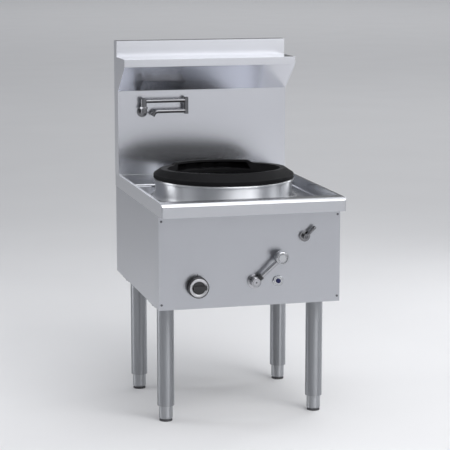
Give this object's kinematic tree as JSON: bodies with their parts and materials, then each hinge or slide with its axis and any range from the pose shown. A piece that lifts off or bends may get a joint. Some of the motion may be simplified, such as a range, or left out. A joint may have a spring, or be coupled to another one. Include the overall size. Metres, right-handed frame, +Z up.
{
  "type": "wok range",
  "caption": "Free-standing stainless wok range on four legs, with a recessed hob, a drum with a black wok ring, a shelf splashback, a folding water tap and front gas controls.",
  "frame": {"origin": "on the floor at the centre of the footprint", "axes": "+X right, +Y back, +Z up"},
  "size_m": [0.65, 0.8, 1.3],
  "materials": {
    "leg_steel": "satin tube with a faint vertical grain",
    "foot_steel": "turned and polished",
    "pad_plastic": "matt moulded",
    "frame_steel": "grey primer on steel tube",
    "screw_steel": "bright plated",
    "dark_screw": "dark and dull",
    "panel_steel": "brushed sheet with a horizontal grain",
    "hob_steel": "brushed sheet, bright rolled edge",
    "drum_steel": "bright, nearly mirror-like",
    "splash_steel": "brushed sheet with a fine grain",
    "black_iron": "matt black, slightly rough",
    "liner_iron": "rough cast, heat-browned",
    "burner_iron": "rough cast",
    "jet_brass": "turned, heat-dulled",
    "valve_brass": "forged and turned",
    "gas_pipe": "semi-gloss paint on steel pipe",
    "tube_copper": "drawn tube, lightly tarnished",
    "bezel_chrome": "polished",
    "button_blue": "glossy dark blue",
    "cable_rubber": "smooth black sleeve",
    "knob_black": "semi-gloss black",
    "knob_trim": "turned, satin",
    "lever_chrome": "polished",
    "grip_metal": "turned and polished",
    "tap_chrome": "polished"
  },
  "bodies": {
    "range_body": {"leg_front_left": "leg_steel", "leg_front_right": "leg_steel", "leg_rear_left": "leg_steel", "leg_rear_right": "leg_steel", "frame_rail_front": "frame_steel", "frame_rail_rear": "frame_steel", "frame_rail_left": "frame_steel", "frame_rail_right": "frame_steel", "leg_rail_front": "frame_steel", "leg_rail_rear": "frame_steel", "corner_posts": "frame_steel", "leg_bolts": "screw_steel", "front_panel": "panel_steel", "side_panel_left": "panel_steel", "side_panel_right": "panel_steel", "rear_panel": "panel_steel", "panel_screws": "dark_screw", "hob_top": "hob_steel", "burner_drum": "drum_steel", "chamber_liner": "liner_iron", "burner_head": "burner_iron", "burner_jets": "jet_brass", "burner_bracket": "frame_steel", "gas_injector": "jet_brass", "feed_pipe": "gas_pipe", "gas_manifold": "gas_pipe", "main_gas_valve": "valve_brass", "pilot_valve": "valve_brass", "pilot_burner": "screw_steel", "pilot_tube": "tube_copper", "thermocouple_lead": "tube_copper", "igniter_housing": "bezel_chrome", "ignition_cable": "cable_rubber", "water_valve": "tap_chrome", "water_supply_pipe": "tube_copper", "tap_feed_pipe": "tube_copper", "splashback_front": "splash_steel", "splashback_rear": "panel_steel", "shelf": "splash_steel", "tap_base": "tap_chrome", "waste_outlet": "tap_chrome"},
    "ring": {"wok_ring": "black_iron"},
    "foot_fl": {"foot_front_left": "foot_steel", "pad_front_left": "pad_plastic"},
    "foot_fr": {"foot_front_right": "foot_steel", "pad_front_right": "pad_plastic"},
    "foot_rl": {"foot_rear_left": "foot_steel", "pad_rear_left": "pad_plastic"},
    "foot_rr": {"foot_rear_right": "foot_steel", "pad_rear_right": "pad_plastic"},
    "spindle": {"knob_spindle": "screw_steel"},
    "knob": {"gas_knob": "knob_black", "knob_ring": "knob_trim"},
    "gas_lever": {"lever_arm": "lever_chrome", "lever_grip": "grip_metal"},
    "water_tap_lever": {"water_lever": "tap_chrome"},
    "igniter_push": {"igniter_button": "button_blue"},
    "shutter": {"air_shutter": "jet_brass"},
    "upper_arm": {"tap_upper_arm": "tap_chrome"},
    "spout_arm": {"tap_spout_arm": "tap_chrome"}
  },
  "joints": [
    {"name": "ring_lift", "type": "slide", "parent": "range_body", "child": "ring", "axis": [0, 0, 1], "range_m": [0, 0.12]},
    {"name": "foot_fl_screw", "type": "slide", "parent": "range_body", "child": "foot_fl", "axis": [0, 0, -1], "range_m": [0, 0.03]},
    {"name": "foot_fr_screw", "type": "slide", "parent": "range_body", "child": "foot_fr", "axis": [0, 0, -1], "range_m": [0, 0.03]},
    {"name": "foot_rl_screw", "type": "slide", "parent": "range_body", "child": "foot_rl", "axis": [0, 0, -1], "range_m": [0, 0.03]},
    {"name": "foot_rr_screw", "type": "slide", "parent": "range_body", "child": "foot_rr", "axis": [0, 0, -1], "range_m": [0, 0.03]},
    {"name": "spindle_push", "type": "slide", "parent": "range_body", "child": "spindle", "axis": [0, 1, 0], "range_m": [0, 0.004], "stiffness_N_per_m": 800, "springref_m": -0.006},
    {"name": "knob_turn", "type": "hinge", "parent": "spindle", "child": "knob", "pos_m": [-0.19, -0.36, 0.503], "axis": [0, -1, 0], "range_deg": [0, 180]},
    {"name": "gas_lever_turn", "type": "hinge", "parent": "range_body", "child": "gas_lever", "pos_m": [0.013, -0.36, 0.512], "axis": [0, -1, 0], "range_deg": [0, 90]},
    {"name": "water_lever_turn", "type": "hinge", "parent": "range_body", "child": "water_tap_lever", "pos_m": [0.193, -0.36, 0.662], "axis": [0, -1, 0], "range_deg": [0, 90]},
    {"name": "igniter_press", "type": "slide", "parent": "range_body", "child": "igniter_push", "axis": [0, 1, 0], "range_m": [0, 0.004], "stiffness_N_per_m": 900, "springref_m": -0.005},
    {"name": "shutter_turn", "type": "hinge", "parent": "range_body", "child": "shutter", "pos_m": [0.013, -0.149, 0.574], "axis": [0, 1, 0], "range_deg": [0, 80]},
    {"name": "upper_arm_swing", "type": "hinge", "parent": "range_body", "child": "upper_arm", "pos_m": [-0.234, 0.3, 1.079], "axis": [0, 0, -1], "range_deg": [0, 180]},
    {"name": "spout_arm_swing", "type": "hinge", "parent": "upper_arm", "child": "spout_arm", "pos_m": [-0.072, 0.3, 1.04], "axis": [0, 0, 1], "range_deg": [0, 180]}
  ]
}
